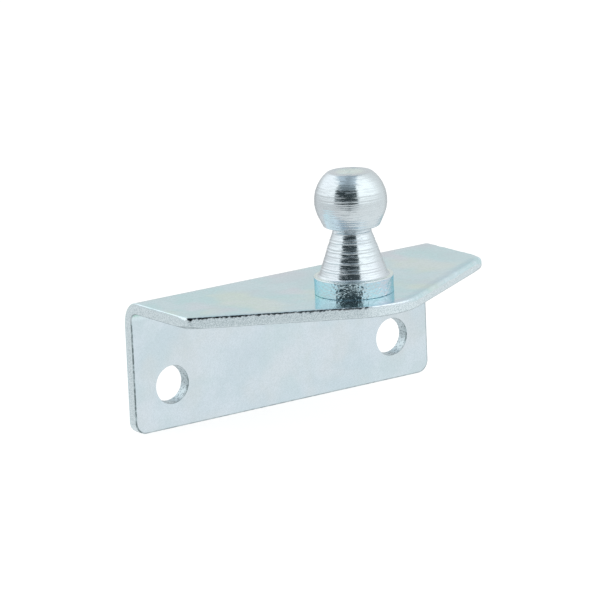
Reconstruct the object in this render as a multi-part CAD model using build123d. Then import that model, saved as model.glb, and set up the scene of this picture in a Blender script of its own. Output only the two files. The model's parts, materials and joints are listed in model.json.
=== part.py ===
from build123d import *
import math
import os

# Mounting bracket with a ball stud, in millimetres.
# X runs along the bracket, the flange reaches out towards -Y and +Z is up.
# The origin is midway between the two screw holes, on the mounting face.

# Angle bracket: one strip of sheet steel, cut, pierced and folded to a right angle.
SHEET = 1.6
BRACKET_LENGTH = 50.8
LEG_HEIGHT = 19.05
BEND_OUTER_RADIUS = 3.0
SQUARE_END_DEPTH = 15.24
NOSE_RADIUS = 9.525
FLANGE_CORNER_RADIUS = 1.2
LEG_CORNER_RADIUS = 1.75
SCREW_HOLE_DIAMETER = 5.5
SCREW_HOLE_SPACING = 38.1
SCREW_HOLE_DROP = 12.85

# Edge shapes that shearing and piercing leave on the sheet.
ROLLED_EDGE_RADIUS = 0.3
ROLLED_RIM_RADIUS = 0.15

# Ball stud: one turned piece, riveted through the flange.
STUD_REACH = 19.05
SHANK_DIAMETER = 6.35
COLLAR_DIAMETER = 11.0
COLLAR_HEIGHT = 2.4
COLLAR_EDGE_BREAK = 0.2
CONE_BASE_RADIUS = 4.8
CONE_FOOT_FILLET = 0.5
NECK_RADIUS = 2.4
BALL_DIAMETER = 10.0
BALL_CENTRE_HEIGHT = 12.85
BALL_FLAT_HEIGHT = 3.98
BALL_FLAT_EDGE_RADIUS = 0.6
BALL_UNDERSIDE_DEPTH = 3.56
BALL_UNDERSIDE_ANGLE = 25.0
BALL_UNDERSIDE_EDGE_RADIUS = 0.35

# Riveted tail, under the flange.
RIVET_HEAD_DIAMETER = 9.0
RIVET_HEAD_HEIGHT = 1.3
RIVET_HEAD_RIM = 0.4

FLANGE_TOP = SCREW_HOLE_DROP
LEG_BOTTOM = FLANGE_TOP - LEG_HEIGHT
NOSE_FRONT = -(STUD_REACH + NOSE_RADIUS)


def folded_strip():
    """The full-width right-angle section, with concentric bend radii."""
    section = make_face(
        Polyline(
            (0, LEG_BOTTOM),
            (0, FLANGE_TOP),
            (NOSE_FRONT, FLANGE_TOP),
            (NOSE_FRONT, FLANGE_TOP - SHEET),
            (-SHEET, FLANGE_TOP - SHEET),
            (-SHEET, LEG_BOTTOM),
            close=True,
        )
    )
    outside = corner_near(section, 0, FLANGE_TOP)
    section = fillet(outside, BEND_OUTER_RADIUS)
    inside = corner_near(section, -SHEET, FLANGE_TOP - SHEET)
    section = fillet(inside, BEND_OUTER_RADIUS - SHEET)
    return extrude(Plane.YZ * section, BRACKET_LENGTH / 2, both=True)


def corner_near(outline, across, up):
    """The corner of a flat outline that lies closest to a point."""
    return outline.vertices().sort_by_distance((across, up, 0))[0]


def flange_plan():
    """Seen from above: square ends, then straight tapers tangent to the round nose."""
    half_length = BRACKET_LENGTH / 2
    rise = STUD_REACH - SQUARE_END_DEPTH
    to_corner = math.atan2(rise, half_length)
    corner_to_tangent = math.acos(NOSE_RADIUS / math.hypot(rise, half_length))
    touch_angle = to_corner - corner_to_tangent
    touch_across = NOSE_RADIUS * math.cos(touch_angle)
    touch_depth = NOSE_RADIUS * math.sin(touch_angle) - STUD_REACH
    nose = ThreePointArc((-touch_across, touch_depth), (0, NOSE_FRONT), (touch_across, touch_depth))
    sides = Polyline(
        (touch_across, touch_depth),
        (half_length, -SQUARE_END_DEPTH),
        (half_length, 0),
        (-half_length, 0),
        (-half_length, -SQUARE_END_DEPTH),
        (-touch_across, touch_depth),
    )
    plan = make_face(nose + sides)
    corners = [corner_near(plan, side * half_length, -SQUARE_END_DEPTH) for side in (-1, 1)]
    return fillet(corners, FLANGE_CORNER_RADIUS)


def leg_front():
    """Seen from the front: a rectangle with its two lower corners rounded."""
    front = Pos(0, (FLANGE_TOP + LEG_BOTTOM) / 2) * Rectangle(BRACKET_LENGTH, LEG_HEIGHT)
    corners = [corner_near(front, side * BRACKET_LENGTH / 2, LEG_BOTTOM) for side in (-1, 1)]
    return fillet(corners, LEG_CORNER_RADIUS)


def outer_skin_outline(blank):
    """The free edges of the outer skin: flange top, bend and mounting face, without the bend lines."""
    top = blank.faces().sort_by(Axis.Z)[-1]
    back = blank.faces().sort_by(Axis.Y)[-1]
    bend = blank.faces().sort_by_distance((0, 0, FLANGE_TOP))[0]
    skin_edges = top.edges() + back.edges() + bend.edges()
    return [edge for edge in skin_edges if sum(edge.is_same(other) for other in skin_edges) == 1]


def screw_hole(side):
    return Pos(side * SCREW_HOLE_SPACING / 2, 0, 0) * Rot(90, 0, 0) * Cylinder(
        SCREW_HOLE_DIAMETER / 2, 4 * SHEET
    )


def angle_bracket():
    bracket = folded_strip()
    bracket &= extrude(flange_plan(), 4 * LEG_HEIGHT, both=True)
    bracket &= extrude(Plane.XZ * leg_front(), 4 * STUD_REACH, both=True)
    bracket = fillet(outer_skin_outline(bracket), ROLLED_EDGE_RADIUS)
    for side in (-1, 1):
        bracket -= screw_hole(side)
    front_rims = bracket.edges().filter_by(GeomType.CIRCLE).filter_by(
        lambda edge: abs(edge.center().Y + SHEET) < SHEET / 100
        and abs(edge.radius - SCREW_HOLE_DIAMETER / 2) < SHEET / 100
    )
    bracket = fillet(front_rims, ROLLED_RIM_RADIUS)
    bracket -= Pos(0, -STUD_REACH, FLANGE_TOP) * Cylinder(SHANK_DIAMETER / 2, 4 * SHEET)
    return bracket


def ball_outline():
    """Half section of the ball: sphere with a flat top and a coned underside."""
    radius = BALL_DIAMETER / 2
    slope = math.radians(BALL_UNDERSIDE_ANGLE)
    tangent_radius = radius * math.cos(slope)
    tangent_depth = radius * math.sin(slope)
    underside_radius = tangent_radius - (BALL_UNDERSIDE_DEPTH - tangent_depth) * math.tan(slope)
    flat_radius = math.sqrt(radius**2 - BALL_FLAT_HEIGHT**2)
    top = Line((0, BALL_FLAT_HEIGHT), (flat_radius, BALL_FLAT_HEIGHT))
    sphere = ThreePointArc((flat_radius, BALL_FLAT_HEIGHT), (radius, 0), (tangent_radius, -tangent_depth))
    under = Polyline(
        (tangent_radius, -tangent_depth),
        (underside_radius, -BALL_UNDERSIDE_DEPTH),
        (0, -BALL_UNDERSIDE_DEPTH),
        (0, BALL_FLAT_HEIGHT),
    )
    outline = make_face(top + sphere + under)
    rim = corner_near(outline, flat_radius, BALL_FLAT_HEIGHT)
    outline = fillet(rim, BALL_FLAT_EDGE_RADIUS)
    lower_rim = corner_near(outline, underside_radius, -BALL_UNDERSIDE_DEPTH)
    return fillet(lower_rim, BALL_UNDERSIDE_EDGE_RADIUS)


def collar_outline():
    """Half section of the round collar that seats on the flange."""
    radius = COLLAR_DIAMETER / 2
    collar = Pos(radius / 2, COLLAR_HEIGHT / 2) * Rectangle(radius, COLLAR_HEIGHT)
    return fillet(corner_near(collar, radius, COLLAR_HEIGHT), COLLAR_EDGE_BREAK)


def cone_outline():
    """Half section of the tapered stem between the collar and the ball."""
    neck_height = BALL_CENTRE_HEIGHT - BALL_UNDERSIDE_DEPTH
    return make_face(
        Polyline(
            (0, COLLAR_HEIGHT),
            (CONE_BASE_RADIUS, COLLAR_HEIGHT),
            (NECK_RADIUS, neck_height),
            (0, neck_height),
            close=True,
        )
    )


def rivet_outline():
    """Half section of the shank in the sheet and the crowned head formed under it."""
    shank_radius = SHANK_DIAMETER / 2
    head_radius = RIVET_HEAD_DIAMETER / 2
    crown_height = RIVET_HEAD_HEIGHT - RIVET_HEAD_RIM
    sphere_radius = (head_radius**2 + crown_height**2) / (2 * crown_height)
    halfway = head_radius / 2
    halfway_rise = sphere_radius - math.sqrt(sphere_radius**2 - halfway**2)
    bottom = -SHEET - RIVET_HEAD_HEIGHT
    sides = Polyline(
        (0, bottom),
        (0, 0),
        (shank_radius, 0),
        (shank_radius, -SHEET),
        (head_radius, -SHEET),
        (head_radius, -SHEET - RIVET_HEAD_RIM),
    )
    crown = ThreePointArc(
        (head_radius, -SHEET - RIVET_HEAD_RIM), (halfway, bottom + halfway_rise), (0, bottom)
    )
    return make_face(sides + crown)


def ball_stud():
    outline = Pos(0, BALL_CENTRE_HEIGHT) * ball_outline()
    outline += cone_outline() + collar_outline() + rivet_outline()
    cone_foot = corner_near(outline, CONE_BASE_RADIUS, COLLAR_HEIGHT)
    outline = fillet(cone_foot, CONE_FOOT_FILLET)
    stud = revolve(Plane.XZ * outline, Axis.Z)
    return Pos(0, -STUD_REACH, FLANGE_TOP) * stud


os.makedirs("parts", exist_ok=True)
export_step(angle_bracket(), "parts/angle_bracket.step")
export_step(ball_stud(), "parts/ball_stud.step")
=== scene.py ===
import json
import math
import random

import bmesh
import bpy
import numpy as np
from mathutils import Matrix, Vector, noise
from mathutils.geometry import delaunay_2d_cdt


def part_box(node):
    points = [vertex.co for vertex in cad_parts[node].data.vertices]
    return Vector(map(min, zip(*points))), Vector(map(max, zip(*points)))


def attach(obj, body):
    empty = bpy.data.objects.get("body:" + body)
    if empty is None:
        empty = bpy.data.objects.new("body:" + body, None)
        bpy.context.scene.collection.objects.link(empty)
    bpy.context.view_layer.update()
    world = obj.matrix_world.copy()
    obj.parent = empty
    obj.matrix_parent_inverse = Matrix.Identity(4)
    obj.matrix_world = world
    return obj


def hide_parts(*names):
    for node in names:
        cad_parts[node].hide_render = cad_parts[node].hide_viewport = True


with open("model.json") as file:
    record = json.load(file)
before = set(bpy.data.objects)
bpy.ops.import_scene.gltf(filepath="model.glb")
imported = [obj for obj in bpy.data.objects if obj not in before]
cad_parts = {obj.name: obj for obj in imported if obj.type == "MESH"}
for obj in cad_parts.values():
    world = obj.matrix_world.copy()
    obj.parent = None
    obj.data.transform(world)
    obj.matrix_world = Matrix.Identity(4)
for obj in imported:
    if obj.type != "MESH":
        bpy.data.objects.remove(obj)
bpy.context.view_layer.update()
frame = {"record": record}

# Shapes are worked out in millimetres and scaled when a mesh is made.
MILLIMETRE = 0.001


def in_millimetres(place):
    """The frame gives metres."""
    return np.array(place) / MILLIMETRE


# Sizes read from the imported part.
mounts = {mount["name"]: mount for mount in frame["record"]["mounts"]}
bracket_low, bracket_high = (in_millimetres(corner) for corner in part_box("angle_bracket"))
stud_low, stud_high = (in_millimetres(corner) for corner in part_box("ball_stud"))
ball_centre = in_millimetres(mounts["ball"]["pos_m"])
LENGTH = bracket_high[0] - bracket_low[0]
FLANGE_TOP = bracket_high[2]
LEG_BOTTOM = bracket_low[2]
STUD_REACH = -ball_centre[1]
NOSE_RADIUS = -bracket_low[1] - STUD_REACH
SCREW_HOLE_SPACING = mounts["screw_holes"]["dims"]["spacing_x_mm"]
SCREW_HOLE_RADIUS = mounts["screw_holes"]["dims"]["hole_r_mm"]
COLLAR_RADIUS = (stud_high[0] - stud_low[0]) / 2
BALL_CENTRE_HEIGHT = ball_centre[2] - FLANGE_TOP
BALL_FLAT_HEIGHT = stud_high[2] - ball_centre[2]
RIVET_BOTTOM = stud_low[2] - FLANGE_TOP

# Sheet, in millimetres, as in the CAD.
SHEET = 1.6
BEND_RADIUS = 3.0
SQUARE_END_DEPTH = 15.24
FLANGE_CORNER_RADIUS = 1.2
LEG_CORNER_RADIUS = 1.75
SHANK_RADIUS = 3.175

# A roll is an edge that the punch rounded over, as its width across the skin and its depth down the
# wall. The taper that faces left and forward has a steeper roll than the rest of the outline.
EDGE_ROLL = (0.55, 0.5)
STEEP_ROLL = (0.11, 0.23)
RIM_ROLL = (0.05, 0.1)
# The steep roll's lower edge is ragged, as spacing and amount.
RAGGED = (0.35, 1.0)
# A roll's size as a share: on the cropped ends, added at the flange's tips, its limits, and how uneven
# it is along the edge, as pairs of spacing and amount.
END_ROLL = 0.3
END_ROLL_REACH = 1.5
CORNER_ROLL = 0.9
CORNER_REACH = 1.6
ROLL_LIMITS = (0.22, 2.2)
ROLL_UNEVEN = ((1.5, 0.3), (0.4, 0.18), (0.2, 0.07))
# How far an edge faces sideways is its outward normal's x, from -1 on the left end to 1 on the right.
# Each pair is where a feature of the edge fades in or out.
CROPPED_END = (0.6, 0.95)
STEEP_STARTS = (-1.0, -0.85)
STEEP_ENDS = (-0.25, 0.5)
BURR_ENDS = (-0.5, -0.36)
LEFT_EDGE = -0.5
DARK_RIM = -0.85
# The skin beside a roll gets painted shade, a darker band in place of a dark reflection, over this
# width and down the roll to this angle, only where the edge faces the nose's side, clear of the tips.
SHADE_WIDTH = 1.1
SHADE_END = math.radians(40)
SHADE_HALFWAY = 0.7
SHADED_SIDE = (0.2, 0.6)
CLEAR_OF_TIPS = (0.3, 0.8)
# The burr's painted shade, a dark line deepening the roll's dark reflection, covers the steep roll past
# this angle. It is faintest away from the left tip.
BURR_START = math.radians(15)
BURR_FADE = (14, 23)
BURR_FAINTEST = 0.76
NO_PAINTED_SHADE = (0.0, 0.0)
# Radii of the sharp edges, and how much larger they are worn at the tips.
SHARP_EDGE = 0.12
SHARP_RIM = 0.03
CORNER_WEAR = 2.5
# A screw hole is smaller all round by the plate, and its wall leans in towards the mounting face.
PLATING = 0.04
HOLE_NARROWING = 0.16
# Grain of the torn walls, as its height and size, its rise below the roll, and its fall towards the
# sharp edge, in shares of the wall's depth.
GRAIN_HEIGHT = 0.012
GRAIN_SIZE = 0.2
GRAIN_RISE = 4
GRAIN_FALL = 2
GRAIN_FALL_END = 0.85
GRAIN_LEAST = 0.25
SHARP_GRAIN = 0.3
# Swelling of the fold's ends, and its reach past the fold as a share of the fold's length.
KNUCKLE = 0.12
KNUCKLE_REACH = 0.3
# Waviness of the rolled sheet.
WAVE_HEIGHT = 0.006
WAVE_SIZE = 7.0
# Fineness of the bracket's mesh: distances in millimetres and turns in degrees.
OUTLINE_STEP = 0.15
SKIN_STEP = 0.42
SKIN_MARGIN = 0.08
ROLL_TURN = 10
SHARP_TURN = 30
WALL_ROWS = 10
FEWEST_ARC_PIECES = 4
# For the triangulation: keep every triangle, and tell points apart beyond this distance.
ALL_TRIANGLES = 0
SAME_POINT = 1e-6

LEG_STRAIGHT = FLANGE_TOP - LEG_BOTTOM - BEND_RADIUS
BEND_LENGTH = BEND_RADIUS * math.pi / 2
FLANGE_START = LEG_STRAIGHT + BEND_LENGTH


def flange_along(depth_from_mounting_face):
    """Place on the flat blank of a flange point, from its distance to the mounting face."""
    return FLANGE_START + depth_from_mounting_face - BEND_RADIUS


def smooth_step(value, low, high):
    """Zero below low, one above high, and a smooth rise between them."""
    share = min(max((value - low) / (high - low), 0.0), 1.0)
    return share * share * (3 - 2 * share)


def waviness(across, along):
    """Slight lack of flatness of the rolled sheet."""
    return WAVE_HEIGHT * noise.noise((across / WAVE_SIZE, along / WAVE_SIZE, 0.0))


def fold(across, along, depth):
    """A point of the flat blank, depth below its outer skin, on the folded bracket."""
    depth = depth + waviness(across, along)
    turn = min(max((along - LEG_STRAIGHT) / BEND_RADIUS, 0.0), math.pi / 2)
    radius = BEND_RADIUS - depth
    beyond = max(along - FLANGE_START, 0.0)
    up_leg = min(along, LEG_STRAIGHT)
    return (
        across,
        -BEND_RADIUS - beyond + radius * math.cos(turn),
        LEG_BOTTOM + up_leg + radius * math.sin(turn),
    )


def rounded_outline(corners, step):
    """Points and outward normals round a convex outline, from anticlockwise (x, y, radius) corners."""
    points, normals, arcs = [], [], []
    places = [Vector(corner[:2]) for corner in corners]
    for index, (place, (_, _, radius)) in enumerate(zip(places, corners)):
        arriving = (place - places[index - 1]).normalized()
        leaving = (places[(index + 1) % len(places)] - place).normalized()
        start_angle = math.atan2(-arriving.x, arriving.y)
        turn = math.acos(arriving.dot(leaving))
        tangent = radius * math.tan(turn / 2)
        centre = place - arriving * tangent + Vector((-arriving.y, arriving.x)) * radius
        arcs.append((centre, radius, start_angle, turn))
    for index, (centre, radius, start_angle, turn) in enumerate(arcs):
        pieces = max(FEWEST_ARC_PIECES, round(radius * turn / step))
        for piece in range(pieces + 1):
            angle = start_angle + turn * piece / pieces
            normal = Vector((math.cos(angle), math.sin(angle)))
            points.append(centre + normal * radius)
            normals.append(normal)
        next_centre, next_radius, next_angle, _ = arcs[(index + 1) % len(arcs)]
        target = next_centre + Vector((math.cos(next_angle), math.sin(next_angle))) * next_radius
        start = points[-1]
        gaps = max(1, round((target - start).length / step))
        for gap in range(1, gaps):
            points.append(start.lerp(target, gap / gaps))
            normals.append(normals[-1])
    return np.array(points), np.array(normals)


def blank_corners():
    """Corners of the flat blank: the leg's lower edge, the flange's square ends and its nose."""
    half = LENGTH / 2
    rise = STUD_REACH - SQUARE_END_DEPTH
    touch = math.acos(NOSE_RADIUS / math.hypot(rise, half)) - math.atan2(rise, half)
    apex_depth = STUD_REACH + NOSE_RADIUS / math.sin(touch)
    return [
        (-half, 0.0, LEG_CORNER_RADIUS),
        (half, 0.0, LEG_CORNER_RADIUS),
        (half, flange_along(SQUARE_END_DEPTH), FLANGE_CORNER_RADIUS),
        (0.0, flange_along(apex_depth), NOSE_RADIUS),
        (-half, flange_along(SQUARE_END_DEPTH), FLANGE_CORNER_RADIUS),
    ]


def hole_outline(centre, radius):
    """Points round a hole, with normals that point out of the metal, into the hole."""
    count = round(2 * math.pi * radius / OUTLINE_STEP)
    angles = np.arange(count) * 2 * math.pi / count
    outward = np.stack([np.cos(angles), np.sin(angles)], axis=1)
    return np.array(centre) + outward * radius, -outward


# Which part of a wall a row of its section starts.
SKIN, ROLL, WALL, SHARP = range(4)

# Layers of the noise, so that unevenness and raggedness don't follow each other.
UNEVEN_LAYER = 3.0
RAGGED_LAYER = 7.0


def shade_margin(shaded):
    """Width of the skin strip beside a roll, widest where it has painted shade."""
    return SKIN_MARGIN + (SHADE_WIDTH - SKIN_MARGIN) * shaded


def torn_grain(share):
    """Strength of the grain at a share of the wall's depth."""
    return min(1.0, GRAIN_RISE * share, GRAIN_LEAST + GRAIN_FALL * max(0.0, GRAIN_FALL_END - share))


def wall_section(width, rolled, sharp, narrowing=0.0, shaded=0.0, burr_shaded=0.0):
    """Section through a sheared wall as inset, distance from the rolled skin, grain, part and painted
    shades: the band beside the roll and the burr.

    The punch rolls one side over, tears the metal and leaves the other side sharp. The wall leans out
    of the metal by the narrowing."""
    margin = shade_margin(shaded)
    section = [
        (width + margin, 0.0, 0.0, SKIN, NO_PAINTED_SHADE),
        (width + margin / 2, 0.0, 0.0, SKIN, (SHADE_HALFWAY * shaded, 0.0)),
    ]
    for degrees in range(0, 91, ROLL_TURN):
        angle = math.radians(degrees)
        inset, below = width * (1 - math.sin(angle)), rolled * (1 - math.cos(angle))
        painted_shades = (shaded * max(0.0, 1 - angle / SHADE_END), burr_shaded if angle > BURR_START else 0.0)
        section.append((inset, below, 0.0, ROLL, painted_shades))
    for share in np.linspace(0, 1, WALL_ROWS + 2)[1:-1]:
        below = rolled + share * (SHEET - sharp - rolled)
        section.append((-narrowing * share, below, torn_grain(share), WALL, NO_PAINTED_SHADE))
    for degrees in range(0, 91, SHARP_TURN):
        angle = math.radians(degrees)
        inset = sharp * (1 - math.cos(angle)) - narrowing
        below = SHEET - sharp * (1 - math.sin(angle))
        section.append((inset, below, SHARP_GRAIN * math.cos(angle), SHARP, NO_PAINTED_SHADE))
    section.append((sharp + SKIN_MARGIN - narrowing, SHEET, 0.0, SHARP, NO_PAINTED_SHADE))
    return section


def near_corner(across, along):
    """One at the flange's two tips, fading to zero away from them."""
    tip_along = flange_along(SQUARE_END_DEPTH)
    gaps = [math.dist((across, along), (side * LENGTH / 2, tip_along)) for side in (-1, 1)]
    return math.exp(-((min(gaps) / CORNER_REACH) ** 2))


def roll_size(across, along, facing):
    """Share of its full size that a roll has here: uneven, larger at the flange's tips, and smaller on
    the cropped ends, most of all on the leg."""
    end_size = END_ROLL * smooth_step(along, LEG_STRAIGHT, FLANGE_START + END_ROLL_REACH)
    size = 1.0 + (end_size - 1.0) * smooth_step(abs(facing), *CROPPED_END)
    for spacing, amount in ROLL_UNEVEN:
        size += amount * noise.noise((across / spacing, along / spacing, UNEVEN_LAYER))
    size += CORNER_ROLL * near_corner(across, along)
    return min(max(size, ROLL_LIMITS[0]), ROLL_LIMITS[1])


def steepness(facing):
    """One on the taper that faces left and forward, fading to zero on the nose and the left end."""
    return smooth_step(facing, *STEEP_STARTS) * (1 - smooth_step(facing, *STEEP_ENDS))


def burr_shade_share(across, facing):
    """One where the steep roll's burr gets painted shade, fainter away from the tip and gone before the
    nose.
    """
    present = smooth_step(facing, *STEEP_STARTS) * (1 - smooth_step(facing, *BURR_ENDS))
    return present * (BURR_FAINTEST + (1 - BURR_FAINTEST) * smooth_step(-across, *BURR_FADE))


def edge_roll(across, along, facing):
    """Width and depth of the outline's roll."""
    steep = steepness(facing)
    width, rolled = (wide + (narrow - wide) * steep for wide, narrow in zip(EDGE_ROLL, STEEP_ROLL))
    spacing, amount = RAGGED
    rolled *= 1 + amount * steep * noise.noise((across / spacing, along / spacing, RAGGED_LAYER))
    size = roll_size(across, along, facing)
    return width * size, rolled * size


def shade_share(across, along, towards_nose):
    """Share of painted shade: one beside the tapers and the nose, zero at the tips and elsewhere."""
    clear_of_tips = smooth_step(1 - near_corner(across, along), *CLEAR_OF_TIPS)
    return smooth_step(towards_nose, *SHADED_SIDE) * clear_of_tips


def knuckle(along, depth):
    """How far the ends of the fold pull in on the outside and squeeze out on the inside."""
    turn = (along - LEG_STRAIGHT) / BEND_LENGTH
    if not -KNUCKLE_REACH < turn < 1 + KNUCKLE_REACH:
        return 0.0
    swell = math.sin(math.pi * (turn + KNUCKLE_REACH) / (1 + 2 * KNUCKLE_REACH)) ** 2
    return KNUCKLE * swell * (1 - 2 * depth / SHEET)


def in_the_metal(points, loops):
    """Whether each flat point is inside the outline and outside every hole, by counting crossings."""
    odd = np.zeros(len(points), dtype=bool)
    for loop in loops:
        for (start_x, start_y), (end_x, end_y) in zip(loop, np.roll(loop, -1, axis=0)):
            if start_y != end_y:
                level = (start_y > points[:, 1]) != (end_y > points[:, 1])
                share = (points[:, 1] - start_y) / (end_y - start_y)
                odd ^= level & (points[:, 0] < start_x + share * (end_x - start_x))
    return odd


# Grain's fractal: how fast its octaves weaken, their ratio and their number.
GRAIN_OCTAVES = (0.6, 2.0, 2)

# Places of the bracket's materials on its mesh.
SKIN_FINISH, WALL_FINISH, LINE_FINISH, RIM_FINISH, BORE_FINISH = range(5)


class BracketMesh:
    """Collects the wall strips and skins of the sheet bracket, sharing their edge points."""

    def __init__(self):
        self.points = []
        self.flat = []
        self.faces = []
        self.face_materials = []
        self.painted_shades = []

    def add_point(self, across, along, depth, painted_shades=NO_PAINTED_SHADE):
        """Adds a folded point with its painted shade beside the roll and on the burr, and gives back its
        index.
        """
        self.points.append(fold(across, along, depth))
        self.flat.append((across, along))
        self.painted_shades += [*painted_shades, 0.0]
        return len(self.points) - 1

    def add_wall(self, outline, normals, sections, finishes, inner_skin_rolled=False):
        """A closed strip through the sheet, with a finish for each part of the wall at each point.

        Returns its rows on the outer and inner skins."""
        columns = []
        for (x, y), (nx, ny), section in zip(outline, normals, sections):
            column = []
            for inset, below, grain, _, painted_shades in section:
                depth = SHEET - below if inner_skin_rolled else below
                place = (x / GRAIN_SIZE, y / GRAIN_SIZE, depth / GRAIN_SIZE)
                rough = grain * GRAIN_HEIGHT * noise.fractal(place, *GRAIN_OCTAVES)
                move = rough - inset - abs(nx) * knuckle(y, depth)
                column.append(self.add_point(x + nx * move, y + ny * move, depth, painted_shades))
            columns.append(column)
        parts = [part for _, _, _, part, _ in sections[0]]
        for index, column in enumerate(columns):
            after = columns[(index + 1) % len(columns)]
            for row in range(len(column) - 1):
                self.faces.append((column[row], after[row], after[row + 1], column[row + 1]))
                self.face_materials.append(finishes[index][parts[row]])
        first, last = [column[0] for column in columns], [column[-1] for column in columns]
        return (last, first) if inner_skin_rolled else (first, last)

    def add_skin(self, loops, inner_points, depth):
        """Fills one skin between its loops, through the inner points, leaving the holes open."""
        known = [index for loop in loops for index in loop]
        edges, start = [], 0
        for loop in loops:
            edges += [(start + i, start + (i + 1) % len(loop)) for i in range(len(loop))]
            start += len(loop)
        known += [self.add_point(x, y, depth) for x, y in inner_points]
        flat = [Vector(self.flat[index]) for index in known]
        filled = delaunay_2d_cdt(flat, edges, [], ALL_TRIANGLES, SAME_POINT, True)
        triangles, origins = filled[2:4]
        corners = np.array([[known[origins[index][0]] for index in triangle] for triangle in triangles])
        places = np.array(self.flat)
        kept = in_the_metal(places[corners].mean(axis=1), [places[loop] for loop in loops])
        self.faces += [tuple(int(index) for index in triangle) for triangle in corners[kept]]
        self.face_materials += [SKIN_FINISH] * int(kept.sum())


def skin_points(holes, shaded):
    """A grid of points on the blank, clear of its edges and of the holes."""
    outline, normals = rounded_outline(blank_corners(), SKIN_STEP)
    low, high = outline.min(axis=0), outline.max(axis=0)
    found = []
    for x in np.arange(low[0], high[0], SKIN_STEP):
        for y in np.arange(low[1], high[1], SKIN_STEP):
            edge_gaps = np.sum((outline - (x, y)) * normals, axis=1)
            nearest = np.argmin(edge_gaps)
            facing, towards_nose = normals[nearest]
            hole_gap = min(math.dist((x, y), centre) - radius for centre, radius in holes)
            margin = shade_margin(shaded * shade_share(*outline[nearest], towards_nose))
            rolled = edge_roll(*outline[nearest], facing)[0] + margin
            if edge_gaps[nearest] > rolled + SKIN_STEP and hole_gap > RIM_ROLL[0] + SKIN_STEP:
                found.append((x, y))
    return found


def add_to_scene(name, data):
    added = bpy.data.objects.new(name, data)
    bpy.context.scene.collection.objects.link(added)
    return added


def make_object(name, points, faces, materials, face_materials):
    """A smooth-shaded mesh object in metres, with outward normals and no face that touches no other."""
    mesh = bpy.data.meshes.new(name)
    mesh.from_pydata([tuple(MILLIMETRE * value for value in point) for point in points], [], faces)
    for material in materials:
        mesh.materials.append(material)
    mesh.polygons.foreach_set("material_index", face_materials)
    mesh.shade_smooth()
    shape = bmesh.new()
    shape.from_mesh(mesh)
    stray = [face for face in shape.faces if all(edge.is_boundary for edge in face.edges)]
    bmesh.ops.delete(shape, geom=stray, context="FACES")
    bmesh.ops.recalc_face_normals(shape, faces=shape.faces)
    shape.to_mesh(mesh)
    shape.free()
    return add_to_scene(name, mesh)


def build_bracket(materials):
    """Walls round the outline and round each hole, closed by the outer and the inner skin."""
    stud_hole = ((0.0, flange_along(STUD_REACH)), SHANK_RADIUS)
    hole_centres = [(side * SCREW_HOLE_SPACING / 2, -LEG_BOTTOM) for side in (-1, 1)]
    screw_holes = [(centre, SCREW_HOLE_RADIUS - PLATING) for centre in hole_centres]
    holes = [stud_hole] + screw_holes
    shape = BracketMesh()

    outline, normals = rounded_outline(blank_corners(), OUTLINE_STEP)
    sections, finishes = [], []
    for (x, y), (facing, towards_nose) in zip(outline, normals):
        sharp = SHARP_EDGE * (1 + CORNER_WEAR * near_corner(x, y))
        shaded = shade_share(x, y, towards_nose)
        roll = edge_roll(x, y, facing)
        sections.append(wall_section(*roll, sharp, shaded=shaded, burr_shaded=burr_shade_share(x, facing)))
        # The leg's left sharp edge is drawn as a dark line.
        dark_line_edge = facing < LEFT_EDGE and y < LEG_STRAIGHT
        sharp_finish = LINE_FINISH if dark_line_edge else RIM_FINISH
        finishes.append((SKIN_FINISH, SKIN_FINISH, WALL_FINISH, sharp_finish))
    loops = [shape.add_wall(outline, normals, sections, finishes)]

    for hole in holes:
        outline, normals = hole_outline(*hole)
        narrowing = 0.0 if hole is stud_hole else HOLE_NARROWING
        sections = [wall_section(*RIM_ROLL, SHARP_RIM, narrowing)] * len(outline)
        finishes = []
        for facing, _ in normals:
            rim_finish = LINE_FINISH if facing < DARK_RIM else RIM_FINISH
            finishes.append((SKIN_FINISH, rim_finish, BORE_FINISH, BORE_FINISH))
        loops.append(shape.add_wall(outline, normals, sections, finishes, inner_skin_rolled=True))

    shape.add_skin([outer for outer, _ in loops], skin_points(holes, shaded=True), 0.0)
    shape.add_skin([inner for _, inner in loops], skin_points(holes, shaded=False), SHEET)
    bracket = make_object("bracket", shape.points, shape.faces, materials, shape.face_materials)
    painted_shades = bracket.data.attributes.new("painted_shades", "FLOAT_VECTOR", "POINT")
    painted_shades.data.foreach_set("vector", shape.painted_shades)
    return bracket


# Ball stud, in millimetres above the flange, as in the CAD.
COLLAR_HEIGHT = 2.4
COLLAR_EDGE = 0.1
COLLAR_FOOT = 0.12
# The collar's wall is slightly hollow: its radius of curvature, and the height of its narrowest place.
COLLAR_HOLLOW = 15.0
COLLAR_NARROWEST = 0.9
CONE_BASE_RADIUS = 4.8
CONE_FOOT_FILLET = 0.5
NECK_RADIUS = 2.4
BALL_RADIUS = 5.0
BALL_FLAT_EDGE = 0.6
UNDERSIDE_DEPTH = 3.56
UNDERSIDE_ANGLE = math.radians(25.0)
UNDERSIDE_EDGE = 0.35
# The rivet's head, with the radius of its rounded edge and how far up the rim that is centred.
RIVET_HEAD_RADIUS = 4.5
RIVET_HEAD_RIM = 0.4
RIVET_EDGE = 0.25
RIVET_EDGE_RISE = 0.12
# The ball's flat is dished by this depth, and its bright facing fades out between two radii.
FLAT_DISH = 0.05
FLAT_CENTRE_RADIUS = 0.05
FACED_RADII = (1.5, 2.3)

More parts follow.
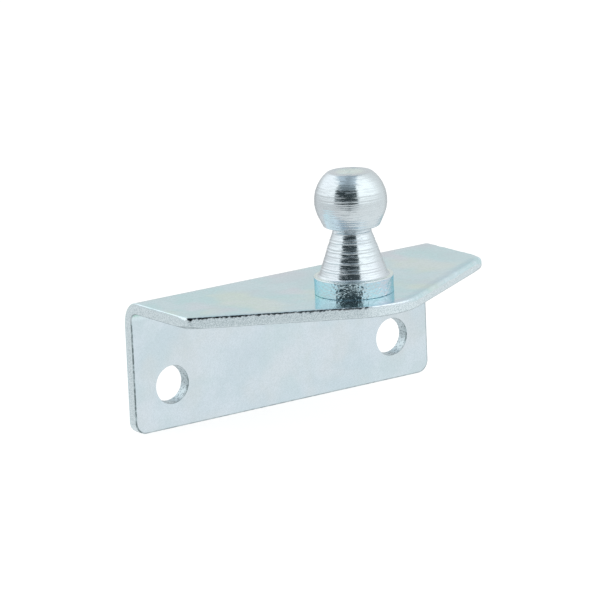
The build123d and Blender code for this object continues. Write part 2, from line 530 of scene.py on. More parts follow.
# Lathe marks: a fine regular feed, deeper in some stretches, and odd raised rings of random height,
# width and gap, which fade in and out round the axis. Both marks wobble.
FEED_PITCH = 0.31
FEED_DEPTH = 0.007
FEED_UNEVEN = 0.8
FEED_STRETCH = 0.7
RING_HEIGHT = 0.06
RING_WIDTHS = (0.16, 0.3)
RING_GAPS = (0.35, 0.95)
RING_SHARES = (0.45, 1.1)
RING_SEED = 5
RING_REACH = 3
RING_STRENGTH = 0.75
RING_FADING = 0.6
RING_LAYERS = 5
WOBBLE = 0.035
WOBBLE_SPEED = 3

# How strongly a stretch of the stud carries the feed marks and the odd rings.
PLAIN = (0.0, 0.0)
FACED = (0.6, 0.2)
FINE_TURNED = (0.9, 0.45)
TURNED = (1.45, 0.5)
ROUGH_TURNED = (0.9, 1.0)

# Elevation on the ball, in degrees, where its finer turned upper part starts.
FINE_ANGLE = 30.0

# Fineness of the stud's mesh: faces round its axis, and steps along its profile.
STUD_SIDES = 120
FINE_STEP = 0.042
EDGE_STEP = 0.03
RIVET_EDGE_STEP = 0.08
WALL_STEP = 0.1
COARSE_STEP = 0.3


class Profile:
    """A half section as radius and height, drawn from the rivet's crown up to the ball's flat."""

    def __init__(self, radius, height):
        self.points = [(radius, height)]
        self.finishes = [PLAIN]

    def add(self, radius, height, finish):
        self.points.append((radius, height))
        self.finishes.append(finish)

    def line(self, radius, height, finish=PLAIN, step=FINE_STEP):
        """A straight stretch to a point."""
        start, end = self.points[-1], (radius, height)
        pieces = max(1, round(math.dist(start, end) / step))
        for place in np.linspace(start, end, pieces + 1)[1:]:
            self.add(*place, finish)

    def arc(self, centre_radius, centre_height, size, start, end, finish=PLAIN, step=FINE_STEP):
        """A round stretch about a centre, between two angles from the horizontal in degrees."""
        pieces = max(FEWEST_ARC_PIECES, round(abs(math.radians(end - start)) * size / step))
        for angle in np.radians(np.linspace(start, end, pieces + 1)[1:]):
            out = centre_radius + size * math.cos(angle)
            self.add(out, centre_height + size * math.sin(angle), finish)


def stud_profile():
    """The stud's half section, with its tangent points worked out from the sizes above."""
    neck_height = BALL_CENTRE_HEIGHT - UNDERSIDE_DEPTH
    slope = math.degrees(UNDERSIDE_ANGLE)
    tangent_radius = BALL_RADIUS * math.cos(UNDERSIDE_ANGLE)
    tangent_drop = BALL_RADIUS * math.sin(UNDERSIDE_ANGLE)
    under_radius = tangent_radius - (UNDERSIDE_DEPTH - tangent_drop) * math.tan(UNDERSIDE_ANGLE)
    under_edge_radius = under_radius - UNDERSIDE_EDGE * math.tan(math.radians(90 - slope) / 2)
    rim_height = BALL_FLAT_HEIGHT - BALL_FLAT_EDGE
    rim_radius = math.sqrt((BALL_RADIUS - BALL_FLAT_EDGE) ** 2 - rim_height**2)
    rim_angle = math.degrees(math.atan2(rim_height, rim_radius))
    flat_height = BALL_CENTRE_HEIGHT + BALL_FLAT_HEIGHT
    lean = math.degrees(math.atan2(CONE_BASE_RADIUS - NECK_RADIUS, neck_height - COLLAR_HEIGHT))
    foot_radius = CONE_BASE_RADIUS + CONE_FOOT_FILLET / math.tan(math.radians(90 + lean) / 2)
    crown_edge = -SHEET - RIVET_HEAD_RIM
    crown_height = crown_edge - RIVET_BOTTOM
    crown_radius = (RIVET_HEAD_RADIUS**2 + crown_height**2) / (2 * crown_height)
    crown_angle = math.degrees(math.asin((RIVET_HEAD_RADIUS - RIVET_EDGE) / crown_radius))

    flare = math.asin((COLLAR_HEIGHT - COLLAR_EDGE - COLLAR_NARROWEST) / COLLAR_HOLLOW)
    undercut = math.asin((COLLAR_NARROWEST - COLLAR_FOOT) / COLLAR_HOLLOW)
    hollow_centre = COLLAR_RADIUS + COLLAR_HOLLOW * math.cos(flare)
    hollow_ends = (180 + math.degrees(undercut), 180 - math.degrees(flare))
    base_radius = hollow_centre - COLLAR_HOLLOW * math.cos(undercut)

    half = Profile(0.0, RIVET_BOTTOM)
    half.arc(0, RIVET_BOTTOM + crown_radius, crown_radius, -90, crown_angle - 90, step=COARSE_STEP)
    edge_centre = (RIVET_HEAD_RADIUS - RIVET_EDGE, crown_edge + RIVET_EDGE_RISE)
    half.arc(*edge_centre, RIVET_EDGE, crown_angle - 90, 0, step=RIVET_EDGE_STEP)
    half.line(RIVET_HEAD_RADIUS, -SHEET, step=COARSE_STEP)
    half.line(SHANK_RADIUS, -SHEET, step=COARSE_STEP)
    half.line(SHANK_RADIUS, 0, step=COARSE_STEP)
    half.line(base_radius - COLLAR_FOOT, 0, step=COARSE_STEP)
    half.arc(base_radius - COLLAR_FOOT, COLLAR_FOOT, COLLAR_FOOT, -90, 0, step=EDGE_STEP)
    half.arc(hollow_centre, COLLAR_NARROWEST, COLLAR_HOLLOW, *hollow_ends, step=WALL_STEP)
    edge_centre = (COLLAR_RADIUS - COLLAR_EDGE, COLLAR_HEIGHT - COLLAR_EDGE)
    half.arc(*edge_centre, COLLAR_EDGE, 0, 90, step=EDGE_STEP)
    half.line(foot_radius, COLLAR_HEIGHT)
    foot_centre = (foot_radius, COLLAR_HEIGHT + CONE_FOOT_FILLET)
    half.arc(*foot_centre, CONE_FOOT_FILLET, -90, lean - 180)
    half.line(NECK_RADIUS, neck_height, ROUGH_TURNED)
    half.line(under_edge_radius, neck_height, FACED)
    edge_centre = (under_edge_radius, neck_height + UNDERSIDE_EDGE)
    half.arc(*edge_centre, UNDERSIDE_EDGE, -90, -slope, FACED)
    half.line(tangent_radius, BALL_CENTRE_HEIGHT - tangent_drop, TURNED)
    half.arc(0, BALL_CENTRE_HEIGHT, BALL_RADIUS, -slope, FINE_ANGLE, TURNED)
    half.arc(0, BALL_CENTRE_HEIGHT, BALL_RADIUS, FINE_ANGLE, rim_angle, FINE_TURNED)
    edge_centre = (rim_radius, BALL_CENTRE_HEIGHT + rim_height)
    half.arc(*edge_centre, BALL_FLAT_EDGE, rim_angle, 90, FACED)
    half.line(FLAT_CENTRE_RADIUS, flat_height - FLAT_DISH, FACED)
    half.add(0.0, flat_height - FLAT_DISH, PLAIN)
    return half


def odd_rings(length):
    """Raised rings along the profile, as place, width and share of the full height."""
    draw = random.Random(RING_SEED)
    rings, place = [], 0.0
    while place < length:
        place += draw.uniform(*RING_GAPS)
        rings.append((place, draw.uniform(*RING_WIDTHS), draw.uniform(*RING_SHARES)))
    return rings


def feed_mark(place):
    """Height of the regular scallops that the moving tool leaves, deeper in some stretches."""
    uneven = 1 + FEED_UNEVEN * noise.noise((place / FEED_STRETCH, 0.5, 0.5))
    return -FEED_DEPTH * uneven * abs(math.sin(math.pi * place / FEED_PITCH))


def ring_mark(place, angle, rings):
    """Height of the odd rings at a place along the profile, as a share of the full height."""
    height = 0.0
    for ring_place, width, share in rings:
        away = (place - ring_place) / (width / 2)
        if abs(away) < RING_REACH:
            around = (math.cos(angle), math.sin(angle), RING_LAYERS * ring_place)
            fading = RING_STRENGTH + RING_FADING * noise.noise(around)
            height += share * fading * math.exp(-away * away)
    return height


def build_stud(materials):
    """The profile turned round its axis, each point moved along its normal by the lathe marks."""
    half = stud_profile()
    outline = np.array(half.points)
    steps = np.linalg.norm(np.diff(outline, axis=0), axis=1)
    travel = np.concatenate([[0.0], np.cumsum(steps)])
    direction = np.gradient(outline, axis=0)
    direction /= np.linalg.norm(direction, axis=1)[:, None]
    rings = odd_rings(travel[-1])
    points, faces = [], []
    rows = range(1, len(outline) - 1)
    for index in rows:
        radius, height = outline[index]
        feed_share, ring_share = half.finishes[index]
        for side in range(STUD_SIDES):
            angle = 2 * math.pi * side / STUD_SIDES
            around = (WOBBLE_SPEED * math.cos(angle), WOBBLE_SPEED * math.sin(angle), travel[index])
            place = travel[index] + WOBBLE * noise.noise(around)
            raised = RING_HEIGHT * ring_mark(place, angle, rings)
            bump = feed_share * feed_mark(place) + ring_share * raised
            out = radius + bump * direction[index][1]
            up = height - bump * direction[index][0]
            points.append((out * math.cos(angle), out * math.sin(angle) - STUD_REACH, up + FLANGE_TOP))
    for row in range(len(rows) - 1):
        for side in range(STUD_SIDES):
            after = (side + 1) % STUD_SIDES
            low, high = row * STUD_SIDES, (row + 1) * STUD_SIDES
            faces.append((low + side, low + after, high + after, high + side))
    bottom, top = len(points), len(points) + 1
    points.append((0.0, -STUD_REACH, outline[0][1] + FLANGE_TOP))
    points.append((0.0, -STUD_REACH, outline[-1][1] + FLANGE_TOP))
    last_row = (len(rows) - 1) * STUD_SIDES
    for side in range(STUD_SIDES):
        after = (side + 1) % STUD_SIDES
        faces.append((bottom, after, side))
        faces.append((top, last_row + side, last_row + after))
    return make_object("stud", points, faces, materials, [0] * len(faces))


# Axes, as the outputs of a node that separates a vector.
X, Y, Z = range(3)


class Shader:
    """Writes one node tree: each call adds a node and gives back its output."""

    def __init__(self, owner):
        owner.use_nodes = True
        self.tree = owner.node_tree
        self.tree.nodes.clear()

    def add(self, kind, inputs=None, output=0, **settings):
        made = self.tree.nodes.new("ShaderNode" + kind)
        for name, value in settings.items():
            setattr(made, name, value)
        for name, value in (inputs or {}).items():
            if isinstance(value, bpy.types.NodeSocket):
                self.tree.links.new(value, made.inputs[name])
            else:
                made.inputs[name].default_value = value
        return made.outputs[output] if made.outputs else None

    def math(self, operation, first, second=0.0):
        return self.add("Math", {0: first, 1: second}, operation=operation)

    def ease(self, value, low, high, at_low=0.0, at_high=1.0):
        """Goes smoothly from at_low to at_high as value goes from low to high."""
        ends = {"From Min": low, "From Max": high, "To Min": at_low, "To Max": at_high}
        return self.add("MapRange", {"Value": value, **ends}, interpolation_type="SMOOTHSTEP")

    def both(self, first, second):
        """One where both shares are one."""
        return self.math("MULTIPLY", first, second)

    def window(self, value, low, high, soft):
        """One between low and high, zero outside, with soft edges."""
        rise = self.ease(value, low - soft, low + soft)
        return self.both(rise, self.ease(value, high - soft, high + soft, 1.0, 0.0))

    def dim(self, value, share, level):
        """Brings value down to level times itself where share is one."""
        loss = self.math("MULTIPLY", share, 1 - level)
        return self.math("MULTIPLY", value, self.math("SUBTRACT", 1.0, loss))

    def mix(self, share, first, second, blend="MIX"):
        """Blends two colours."""
        inputs = {0: share, 6: first, 7: second}
        return self.add("Mix", inputs, output=2, data_type="RGBA", blend_type=blend)

    def clouds(self, place, scale, detail, roughness):
        """Cloudy noise. Its scale is one number per unit of length, or one for each axis."""
        if isinstance(scale, tuple):
            place, scale = self.stretched(place, scale), 1.0
        inputs = {"Vector": place, "Scale": scale, "Detail": detail, "Roughness": roughness}
        return self.add("TexNoise", inputs)

    def patches(self, place, clouds, edges, levels=(0.0, 1.0)):
        """Clouds made into patches, from one level to another as they pass their edges."""
        return self.ease(self.clouds(place, *clouds), *edges, *levels)

    def stretched(self, place, scales):
        """The same place with each axis scaled."""
        return self.add("VectorMath", {0: place, 1: scales}, operation="MULTIPLY")

    def moved(self, place, shift):
        """The same place, shifted."""
        return self.add("VectorMath", {0: place, 1: shift}, operation="ADD")

    def part(self, place, axis):
        """One coordinate of a place."""
        return self.add("SeparateXYZ", {0: place}, output=axis)

    def bump(self, height, millimetres, strength=1.0, normal=None):
        """A normal that follows a height, on top of another normal if there is one."""
        inputs = {"Height": height, "Distance": millimetres * MILLIMETRE, "Strength": strength}
        if normal is not None:
            inputs["Normal"] = normal
        return self.add("Bump", inputs)

    def metal(self, **inputs):
        """The material's surface, with an underscore for each space in an input's name."""
        named = {name.replace("_", " "): value for name, value in inputs.items()}
        made = self.add("BsdfPrincipled", {"Metallic": 1.0, **named})
        self.add("OutputMaterial", {"Surface": made})


def new_material(name):
    """A material, its shader, and the place on the object in millimetres."""
    material = bpy.data.materials.new(name)
    shader = Shader(material)
    place = shader.add("TexCoord", output="Object")
    return material, shader, shader.stretched(place, [1 / MILLIMETRE] * 3)


# Zinc plate, as linear colours: the bare bluish metal and its faint rainbow stains.
ZINC = (0.66, 0.75, 0.805, 1.0)
ZINC_TEAL = (0.54, 0.82, 0.835, 1.0)
ZINC_STRAW = (0.70, 0.84, 0.74, 1.0)
ZINC_ROSE = (0.71, 0.75, 0.81, 1.0)
ZINC_WARM = (0.71, 0.76, 0.775, 1.0)
# Painted reflection on the stud's collar: cyan at its sides, lavender across a band right of its axis.
COLLAR_CYAN_REFLECTION = (0.49, 0.65, 0.70, 1.0)
COLLAR_LAVENDER_REFLECTION = (0.60, 0.66, 0.73, 1.0)
ZINC_DULL = (0.49, 0.59, 0.62, 1.0)
ZINC_PALE = (0.79, 0.88, 0.91, 1.0)
ZINC_FROST = (0.78, 0.85, 0.92, 1.0)
EDGE_LINE_DARK = (0.20, 0.25, 0.26, 1.0)
RIM_ZINC = (0.35, 0.41, 0.43, 1.0)
BORE_ZINC = (0.56, 0.65, 0.685, 1.0)
TURNED_ZINC = (0.64, 0.68, 0.715, 1.0)
FACED_ZINC = (0.73, 0.83, 0.79, 1.0)
# Painted shade: the burr's dark line, broken by bright nicks.
BURR_SHADE = (0.12, 0.14, 0.15, 1.0)
BURR_BRIGHT = (0.72, 0.80, 0.83, 1.0)
SPECK_DARK = (0.16, 0.20, 0.22, 1.0)
# Painted shade: the tint of the darker band beside the rolls.
SHADE_TINT = (0.85, 0.88, 0.93, 1.0)
EDGE_TINT = (0.6, 0.92, 1.0, 1.0)
WHITE = (1.0, 1.0, 1.0, 1.0)

# Patterns are clouds, as scale per millimetre, detail and roughness; then, for patches, the edges
# between which they fade in, and their two levels where these aren't zero and one.
STAIN_CLOUDS = (0.1, 2.0, 0.5)
# Each stain as its colour, the shift that gives it its own clouds, and its edges.
STAINS = (
    (ZINC_TEAL, (0, 0, 0), (0.25, 0.5)),
    (ZINC_STRAW, (31, 0, 0), (0.46, 0.62)),
    (ZINC_ROSE, (67, 0, 0), (0.54, 0.7)),
)
# The sheet, whose stains, warmth and specks change from a straight view to a glancing one.
GLANCING = (0.25, 0.75)
STAINED = (0.1, 0.95)
WARMED = (0.7, 0.0)
SPECKLED = (0.2, 0.34)
WARM_PATCHES = ((0.16, 2.0, 0.5), (0.42, 0.66))
FROST_PATCHES = ((0.2, 6.0, 0.65), (0.38, 0.62), (0.0, 0.45))
SPECKS = ((4.0, 3.0, 0.7), (0.35, 0.65))
NICKS = (((2.0, 2.0, 4.0), 3.0, 0.7), (0.5, 0.58))
SHEET_ROUGHNESS = ((0.5, 3.0, 0.5), (0.3, 0.7), (0.13, 0.2))
PEEL = (5.0, 2.0, 0.5)
ROLLED_GRAIN = ((0.9, 6.0, 6.0), 3.0, 0.6)
SHEET_BUMP = 0.0015
# Torn walls, the dark line on sharp edges, the other rims and the holes' bores.
TORN_BRIGHT = ((6.0, 4.0, 0.7), (0.29, 0.61))
TORN_GRAIN = (9.0, 3.0, 0.7)
TORN_BUMP = 0.01
TORN_ROUGHNESS = 0.26
LINE_BREAKS = ((1.7, 3.0, 0.7), (0.42, 0.62))
RIM_WORN = ((1.2, 3.0, 0.6), (0.35, 0.65), (0.0, 0.35))
RIM_ROUGHNESS = 0.3
SCORES = ((6.0, 1.2, 6.0), 3.0, 0.7)
SCORED = (0.35, 0.65, 0.0, 0.5)
BORE_ROUGHNESS = 0.35
# Flecks in a bore, and how much likelier they are within a distance of its front rim.
FLECKS = (3.6, 2.0, 0.7)
FLECKED = (0.52, 0.62, 0.0, 0.7)
FRONT_RIM = (0.1, 0.4)
FLECKS_AT_FRONT = 0.16
# The stud: its collar's painted reflection, cyan and lavender, meets across it; lathe rings, scratches and
# the collar's pits.
TURNED_SHARE = 0.8
TURNED_STAINED = 0.5
COLLAR_SHARE = 0.8
COLLAR_TOP_FADE = 0.04
LAVENDER_REFLECTION_ACROSS = (0.3, 3.6, 1.2)
FACES_UP = (0.93, 0.99)
LATHE_RINGS = ((0.4, 0.4, 8.0), 4.0, 0.7)
LATHE_ROUGHNESS = (0.3, 0.7, 0.13, 0.22)
LATHE_BUMP = 0.009
SCRATCHES = (((0.9, 0.9, 6.5), 2.0, 0.6), (0.52, 0.6))
SCRATCH_ROUGHNESS = 0.38
COLLAR_SMOOTHER = 0.55
PITS = ((1.8, 1.8, 2.8), 1.0, 0.5)
PIT_BUMP = 0.13
PITS_OFF_COLLAR = 0.03
ROUND_THE_AXIS = 0.25
LATHE_STREAKS = 0.75


def zinc_colour(shader, place, strength):
    """Bluish zinc with drifting stains of teal, straw and rose."""
    colour = ZINC
    for stain, shift, edges in STAINS:
        share = shader.patches(shader.moved(place, shift), STAIN_CLOUDS, edges)
        colour = shader.mix(shader.math("MULTIPLY", share, strength), colour, stain)
    return colour


def sheet_material():
    """Skins of the bracket: bright zinc over cold-rolled sheet, with painted shade beside the rolls and on
    the dark burr.
    """
    material, shader, place = new_material("plated_sheet")
    glancing = shader.add("LayerWeight", {"Blend": 0.5}, output=1)
    colour = zinc_colour(shader, place, shader.ease(glancing, *GLANCING, *STAINED))
    warmth = shader.ease(glancing, *GLANCING, *WARMED)
    warmth = shader.both(warmth, shader.patches(place, *WARM_PATCHES))
    colour = shader.mix(warmth, colour, ZINC_WARM)
    colour = shader.mix(shader.patches(place, *FROST_PATCHES), colour, ZINC_FROST)
    speckled = shader.ease(glancing, *GLANCING, *SPECKLED)
    speckled = shader.both(speckled, shader.patches(place, *SPECKS))
    colour = shader.mix(speckled, colour, ZINC_DULL)

    # Painted shade, carried on the mesh: a darker band beside the rolls, and the dark burr on the steep
    # roll.
    painted_shades = shader.add("Attribute", output=1, attribute_name="painted_shades")
    shaded, burr_shaded = shader.part(painted_shades, X), shader.part(painted_shades, Y)
    colour = shader.mix(shaded, colour, shader.mix(1.0, colour, SHADE_TINT, "MULTIPLY"))
    # Painted shade on the burr, broken by bright nicks.
    burr_shade = shader.mix(shader.patches(place, *NICKS), BURR_SHADE, BURR_BRIGHT)
    colour = shader.mix(burr_shaded, colour, burr_shade)

    roughness = shader.patches(place, *SHEET_ROUGHNESS)
    normal = shader.bump(shader.clouds(place, *PEEL), SHEET_BUMP)
    normal = shader.bump(shader.clouds(place, *ROLLED_GRAIN), SHEET_BUMP, normal=normal)
    shader.metal(Base_Color=colour, Roughness=roughness, Normal=normal)
    return material


def edge_material():
    """Sheared walls: the same plate over torn metal."""
    material, shader, place = new_material("plated_edge")
    colour = shader.mix(shader.patches(place, *TORN_BRIGHT), ZINC_DULL, ZINC_PALE)
    normal = shader.bump(shader.clouds(place, *TORN_GRAIN), TORN_BUMP)
    shader.metal(Base_Color=colour, Roughness=TORN_ROUGHNESS, Normal=normal)
    return material


def line_material():
    """Sharp edges and rims drawn as a dark, broken line."""
    material, shader, place = new_material("plated_line")
    colour = shader.mix(shader.patches(place, *LINE_BREAKS), EDGE_LINE_DARK, ZINC_DULL)
    shader.metal(Base_Color=colour, Roughness=RIM_ROUGHNESS)
    return material


def rim_material():
    """The other sharp edges and hole rims: darker, worn paler in places."""
    material, shader, place = new_material("plated_rim")
    colour = shader.mix(shader.patches(place, *RIM_WORN), RIM_ZINC, ZINC_PALE)
    shader.metal(Base_Color=colour, Roughness=RIM_ROUGHNESS)
    return material


def bore_material():
    """Walls of the holes: duller plate, scored along the hole and flecked, most at the front rim."""
    material, shader, place = new_material("plated_bore")
    scores = shader.clouds(place, *SCORES)
    colour = shader.mix(shader.ease(scores, *SCORED), BORE_ZINC, ZINC_DULL)
    from_front = shader.math("ADD", shader.part(place, Y), SHEET)
    at_front = shader.ease(from_front, *FRONT_RIM, FLECKS_AT_FRONT, 0.0)
    flecks = shader.math("ADD", shader.clouds(place, *FLECKS), at_front)
    colour = shader.mix(shader.ease(flecks, *FLECKED), colour, SPECK_DARK)
    normal = shader.bump(scores, TORN_BUMP)
    shader.metal(Base_Color=colour, Roughness=BORE_ROUGHNESS, Normal=normal)
    return material


def stud_colour(shader, place, on_collar):
    """Turned plate, the collar's painted reflection in cyan and lavender, and a brighter faced flat on the
    ball.
    """
    colour = shader.mix(TURNED_SHARE, zinc_colour(shader, place, TURNED_STAINED), TURNED_ZINC)
    # Painted reflection: lavender across a band right of the axis, cyan elsewhere on the collar.
    lavender_reflection = shader.window(shader.part(place, X), *LAVENDER_REFLECTION_ACROSS)
    collar_reflection_colour = shader.mix(lavender_reflection, COLLAR_CYAN_REFLECTION, COLLAR_LAVENDER_REFLECTION)
    colour = shader.mix(shader.math("MULTIPLY", on_collar, COLLAR_SHARE), colour, collar_reflection_colour)
    outward = shader.add("NewGeometry", output=1)
    faces_up = shader.ease(shader.part(outward, Z), *FACES_UP)
    from_axis = shader.stretched(shader.moved(place, (0.0, STUD_REACH, 0.0)), (1.0, 1.0, 0.0))
    from_axis = shader.add("VectorMath", {0: from_axis}, 1, operation="LENGTH")
    on_ball = shader.math("GREATER_THAN", shader.part(place, Z), FLANGE_TOP + BALL_CENTRE_HEIGHT)
    shoulder = shader.both(on_ball, shader.ease(from_axis, *FACED_RADII))
    faced = shader.both(faces_up, shader.math("SUBTRACT", 1.0, shoulder))
    return shader.mix(faced, colour, FACED_ZINC)


def stud_material():
    """Turned and plated steel, with fine rings round the axis and a pitted collar."""
    material, shader, place = new_material("plated_turned")
    collar_ends = (FLANGE_TOP - SHEET / 2, FLANGE_TOP + COLLAR_HEIGHT - COLLAR_EDGE)
    on_collar = shader.window(shader.part(place, Z), *collar_ends, COLLAR_TOP_FADE)
    rings = shader.clouds(place, *LATHE_RINGS)
    scratched = shader.patches(place, *SCRATCHES)
    turned = shader.ease(rings, *LATHE_ROUGHNESS)
    roughness = shader.add("Mix", {0: scratched, 2: turned, 3: SCRATCH_ROUGHNESS})
    smoother = shader.ease(on_collar, 0, 1, 1.0, COLLAR_SMOOTHER)
    pitted = shader.ease(on_collar, 0, 1, PITS_OFF_COLLAR, 1.0)
    normal = shader.bump(rings, LATHE_BUMP)
    normal = shader.bump(shader.clouds(place, *PITS), PIT_BUMP, pitted, normal)
    shader.metal(
        Base_Color=stud_colour(shader, place, on_collar),
        Roughness=shader.math("MULTIPLY", roughness, smoother),
        Specular_Tint=shader.mix(on_collar, WHITE, EDGE_TINT),
        Anisotropic=shader.ease(on_collar, 0, 1, LATHE_STREAKS, 0.0),
        Anisotropic_Rotation=ROUND_THE_AXIS,
        Normal=normal,
        Tangent=shader.add("Tangent", direction_type="RADIAL", axis="Z"),
    )
    return material


# Camera, round a point on the bracket. Angles in degrees, lengths in millimetres.
CAMERA_AZIMUTH = -35.57
CAMERA_ELEVATION = 13.35
CAMERA_ROLL = 2.49
CAMERA_DISTANCE = 665.4
CAMERA_LENS = 286.5
SENSOR_WIDTH = 36.0
TARGET_DEPTH = 6.0
TARGET_SHIFT = (0.09, -3.32)
SEEN_FROM = 10.0
SEEN_TO = 20000.0


def camera_axes():
    """Unit vectors from the object towards the camera, to its right and up."""
    azimuth, elevation = math.radians(CAMERA_AZIMUTH), math.radians(CAMERA_ELEVATION)
    back = Vector((
        math.sin(azimuth) * math.cos(elevation),
        -math.cos(azimuth) * math.cos(elevation),
        math.sin(elevation),
    ))
    right = Vector((math.cos(azimuth), math.sin(azimuth), 0.0))
    return back, right, back.cross(right)


def add_camera():
    """The scene's camera, turned about its own axis by its roll."""
    back, right, up = camera_axes()
    target = Vector((0.0, -TARGET_DEPTH, FLANGE_TOP)) + right * TARGET_SHIFT[0] + up * TARGET_SHIFT[1]
    roll = math.radians(CAMERA_ROLL)
    rolled_right = right * math.cos(roll) - up * math.sin(roll)
    rolled_up = right * math.sin(roll) + up * math.cos(roll)
    camera = add_to_scene("camera", bpy.data.cameras.new("camera"))
    camera.data.lens = CAMERA_LENS
    camera.data.sensor_width = SENSOR_WIDTH
    camera.data.clip_start = SEEN_FROM * MILLIMETRE
    camera.data.clip_end = SEEN_TO * MILLIMETRE
    rotation = Matrix((rolled_right, rolled_up, back)).transposed().to_4x4()
    place = (target + back * CAMERA_DISTANCE) * MILLIMETRE
    camera.matrix_world = Matrix.Translation(place) @ rotation
    bpy.context.scene.camera = camera


# Studio, as brightness over azimuth from the camera (positive to its right) and elevation, in degrees.
# Three numbers are a window: its two limits and the softness of its edges.
ROOM_LEFT = 0.8
ROOM_RIGHT = 0.93
FLOOR_LIGHT = 0.1
FLOOR_ELEVATIONS = (-36, -16)
# Dimmer bands behind the object, as level and elevations, and where behind starts, as a cosine.
BACK_BANDS = ((0.88, (2, 28, 8)), (0.68, (-30, 2, 8)))
BEHIND = (-0.95, -0.6)
# The softboxes, as azimuths and brightness.
SOFTBOXES = (((-156, -40, 30), 0.53), ((8, 108, 30), 0.54))
SOFTBOX_ELEVATIONS = (10, 82, 14)
# The dark gap between the softboxes: its lower edge is lowest at one azimuth and rises to both sides.
GAP_AZIMUTHS = (-56, 24)
GAP_SIDE_FADE = 2
GAP_EDGE_FADE = 5
GAP_TOP = 50
GAP_BOTTOM = -12
GAP_LOWEST_AZIMUTH = -6
GAP_BOTTOM_SLOPE = 0.5
GAP_LIGHT = 0.055
# Dimmer floor in front of the camera, under the gap.
NEAR_FLOOR_LIGHT = 0.94
NEAR_FLOOR_ELEVATIONS = (-24, 6)
NEAR_FLOOR_FADE = 8
# A dim strip overhead, as sideways over upward distance. It starts near the gap's top.
OVERHEAD = (-0.57, 0.32, 0.07)
OVERHEAD_START = (GAP_TOP - 8, GAP_TOP + 4)
OVERHEAD_LIGHT = 0.55
LEAST_RISE = 0.1
ROOM_TINT = (0.985, 1.0, 1.01, 1.0)
OVERHEAD_TINT = (0.84, 0.98, 1.1, 1.0)
GAP_TINT = (0.8, 1.05, 1.15, 1.0)


def gap_share(shader, azimuth, elevation):
    """One inside the dark gap between the softboxes."""
    off_centre = shader.math("ABSOLUTE", shader.math("SUBTRACT", azimuth, GAP_LOWEST_AZIMUTH))
    bottom = shader.math("ADD", GAP_BOTTOM, shader.math("MULTIPLY", off_centre, GAP_BOTTOM_SLOPE))
    above_bottom = shader.math("SUBTRACT", elevation, bottom)
    over_bottom = shader.ease(above_bottom, -GAP_EDGE_FADE, GAP_EDGE_FADE)
    under_top = shader.ease(elevation, GAP_TOP - GAP_EDGE_FADE, GAP_TOP + GAP_EDGE_FADE, 1.0, 0.0)
    between_sides = shader.window(azimuth, *GAP_AZIMUTHS, GAP_SIDE_FADE)
    return shader.both(shader.both(between_sides, over_bottom), under_top)


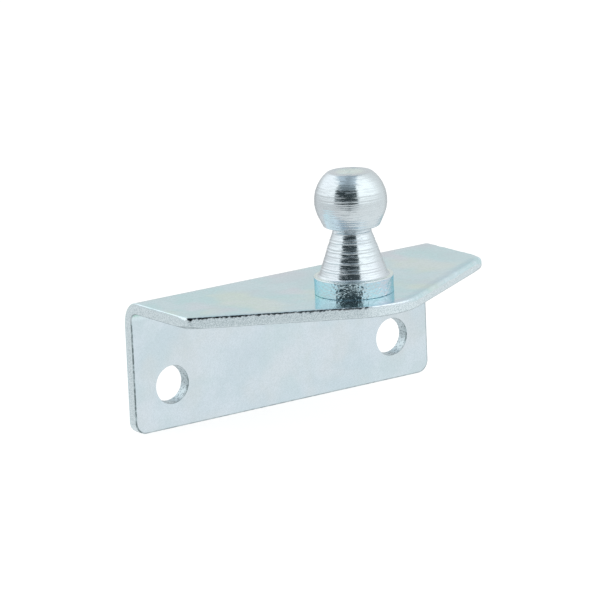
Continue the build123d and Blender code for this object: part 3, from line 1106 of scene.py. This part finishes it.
def light_studio():
    """A pale room with a softbox on each side of the camera and a dark gap between them."""
    world = bpy.data.worlds.new("studio")
    bpy.context.scene.world = world
    shader = Shader(world)
    back, right, _ = camera_axes()
    ahead = Vector((back.x, back.y, 0.0)).normalized()
    direction = shader.add("TexCoord", output="Generated")
    side = shader.add("VectorMath", {0: direction, 1: right}, 1, operation="DOT_PRODUCT")
    front = shader.add("VectorMath", {0: direction, 1: ahead}, 1, operation="DOT_PRODUCT")
    rise = shader.part(direction, Z)
    azimuth = shader.math("DEGREES", shader.math("ARCTAN2", side, front))
    elevation = shader.math("DEGREES", shader.math("ARCSINE", rise))

    light = shader.ease(side, -1, 1, ROOM_LEFT, ROOM_RIGHT)
    light = shader.math("ADD", light, shader.ease(elevation, *FLOOR_ELEVATIONS, FLOOR_LIGHT, 0.0))
    behind = shader.ease(front, *BEHIND, 1.0, 0.0)
    for level, elevations in BACK_BANDS:
        light = shader.dim(light, shader.both(behind, shader.window(elevation, *elevations)), level)
    for azimuths, level in SOFTBOXES:
        box = shader.both(shader.window(azimuth, *azimuths), shader.window(elevation, *SOFTBOX_ELEVATIONS))
        light = shader.math("ADD", light, shader.math("MULTIPLY", box, level))

    across = shader.math("DIVIDE", side, shader.math("MAXIMUM", rise, LEAST_RISE))
    overhead = shader.both(shader.window(across, *OVERHEAD), shader.ease(elevation, *OVERHEAD_START))
    light = shader.dim(light, overhead, OVERHEAD_LIGHT)
    low_down = shader.window(elevation, *NEAR_FLOOR_ELEVATIONS, NEAR_FLOOR_FADE)
    near_floor = shader.both(shader.window(azimuth, *GAP_AZIMUTHS, NEAR_FLOOR_FADE), low_down)
    light = shader.dim(light, near_floor, NEAR_FLOOR_LIGHT)
    gap = gap_share(shader, azimuth, elevation)
    light = shader.dim(light, gap, GAP_LIGHT)
    tint = shader.mix(gap, shader.mix(overhead, ROOM_TINT, OVERHEAD_TINT), GAP_TINT)
    shine = shader.add("Background", {"Color": tint, "Strength": light})
    shader.add("OutputWorld", {"Surface": shine})


# Floor, as half its width in millimetres.
FLOOR_SIZE = 4000.0
FLOOR_GREY = (0.25, 0.25, 0.25, 1.0)
FLOOR_GLOW = 0.88


def add_floor():
    """A pale sheet under the bracket, bright enough to read as a plain background."""
    size, height = FLOOR_SIZE * MILLIMETRE, LEG_BOTTOM * MILLIMETRE
    quarters = ((-1, -1), (1, -1), (1, 1), (-1, 1))
    mesh = bpy.data.meshes.new("floor")
    mesh.from_pydata([(x * size, y * size, height) for x, y in quarters], [], [(0, 1, 2, 3)])
    floor = add_to_scene("floor", mesh)
    material = bpy.data.materials.new("floor")
    shader = Shader(material)
    matte = shader.add("BsdfDiffuse", {"Color": FLOOR_GREY})
    glow = shader.add("Emission", {"Color": WHITE, "Strength": FLOOR_GLOW})
    both = shader.add("AddShader", {0: matte, 1: glow})
    shader.add("OutputMaterial", {"Surface": both})
    mesh.materials.append(material)
    floor.visible_glossy = False


def place_piece(piece, node):
    """The piece stands for one CAD node and moves with the only body."""
    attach(piece, "root")
    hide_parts(node)


# In the order of the finishes above.
bracket_materials = [sheet_material(), edge_material(), line_material(), rim_material(), bore_material()]
place_piece(build_bracket(bracket_materials), "angle_bracket")
place_piece(build_stud([stud_material()]), "ball_stud")
light_studio()
add_floor()
add_camera()
# Colours come out as set, without a film curve.
bpy.context.scene.view_settings.view_transform = "Standard"
